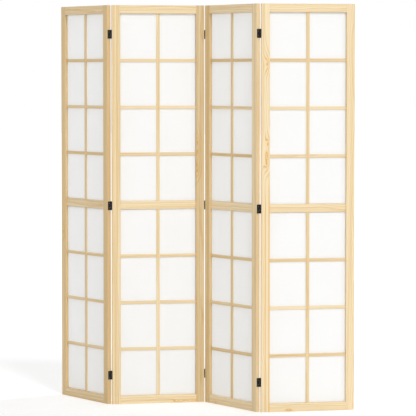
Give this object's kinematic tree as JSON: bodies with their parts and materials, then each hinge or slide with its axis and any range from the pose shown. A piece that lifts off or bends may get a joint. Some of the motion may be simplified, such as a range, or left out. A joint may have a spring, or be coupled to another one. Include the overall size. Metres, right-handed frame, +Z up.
{
  "type": "folding room divider",
  "caption": "Folding room divider of hinged timber frames with paper panes behind a lattice of bars, standing in a zigzag.",
  "frame": {"origin": "centre of the footprint's bounding box, on the floor that the panels stand on", "axes": "+X along the row of panels from the first to the last, +Y from the viewer's side to the far side, +Z up"},
  "size_m": [1.3588, 0.2426, 1.7],
  "materials": {
    "frame_wood": "satin lacquered pine",
    "lattice_wood": "satin lacquered pine",
    "dowel_wood": "plain turned hardwood",
    "paper": "matt white laminated paper",
    "hinge_metal": "black stoved enamel",
    "screw_metal": "black plated steel"
  },
  "bodies": {
    "panel_1": {"panel_1_left_stile": "frame_wood", "panel_1_right_stile": "frame_wood", "panel_1_top_rail": "frame_wood", "panel_1_middle_rail": "frame_wood", "panel_1_bottom_rail": "frame_wood", "panel_1_dowels": "dowel_wood", "panel_1_vertical_bars": "lattice_wood", "panel_1_cross_bars": "lattice_wood", "panel_1_upper_paper": "paper", "panel_1_lower_paper": "paper", "panel_1_back_beads": "lattice_wood", "fold_1_2_left_leaves": "hinge_metal", "fold_1_2_pins": "hinge_metal", "fold_1_2_left_screws": "screw_metal"},
    "panel_2": {"panel_2_left_stile": "frame_wood", "panel_2_right_stile": "frame_wood", "panel_2_top_rail": "frame_wood", "panel_2_middle_rail": "frame_wood", "panel_2_bottom_rail": "frame_wood", "panel_2_dowels": "dowel_wood", "panel_2_vertical_bars": "lattice_wood", "panel_2_cross_bars": "lattice_wood", "panel_2_upper_paper": "paper", "panel_2_lower_paper": "paper", "panel_2_back_beads": "lattice_wood", "fold_1_2_right_leaves": "hinge_metal", "fold_1_2_right_screws": "screw_metal", "fold_2_3_left_leaves": "hinge_metal", "fold_2_3_pins": "hinge_metal", "fold_2_3_left_screws": "screw_metal"},
    "panel_3": {"panel_3_left_stile": "frame_wood", "panel_3_right_stile": "frame_wood", "panel_3_top_rail": "frame_wood", "panel_3_middle_rail": "frame_wood", "panel_3_bottom_rail": "frame_wood", "panel_3_dowels": "dowel_wood", "panel_3_vertical_bars": "lattice_wood", "panel_3_cross_bars": "lattice_wood", "panel_3_upper_paper": "paper", "panel_3_lower_paper": "paper", "panel_3_back_beads": "lattice_wood", "fold_2_3_right_leaves": "hinge_metal", "fold_2_3_right_screws": "screw_metal", "fold_3_4_left_leaves": "hinge_metal", "fold_3_4_pins": "hinge_metal", "fold_3_4_left_screws": "screw_metal"},
    "panel_4": {"panel_4_left_stile": "frame_wood", "panel_4_right_stile": "frame_wood", "panel_4_top_rail": "frame_wood", "panel_4_middle_rail": "frame_wood", "panel_4_bottom_rail": "frame_wood", "panel_4_dowels": "dowel_wood", "panel_4_vertical_bars": "lattice_wood", "panel_4_cross_bars": "lattice_wood", "panel_4_upper_paper": "paper", "panel_4_lower_paper": "paper", "panel_4_back_beads": "lattice_wood", "fold_3_4_right_leaves": "hinge_metal", "fold_3_4_right_screws": "screw_metal"}
  },
  "joints": [
    {"name": "fold_1_2", "type": "hinge", "parent": "panel_2", "child": "panel_1", "pos_m": [-0.34075, -0.10746, 0.85], "axis": [0, 0, 1], "range_deg": [-110, 70]},
    {"name": "fold_2_3", "type": "hinge", "parent": "panel_2", "child": "panel_3", "pos_m": [0, 0.10746, 0.85], "axis": [0, 0, 1], "range_deg": [-110, 70]},
    {"name": "fold_3_4", "type": "hinge", "parent": "panel_3", "child": "panel_4", "pos_m": [0.34075, -0.10746, 0.85], "axis": [0, 0, 1], "range_deg": [-70, 110]}
  ]
}
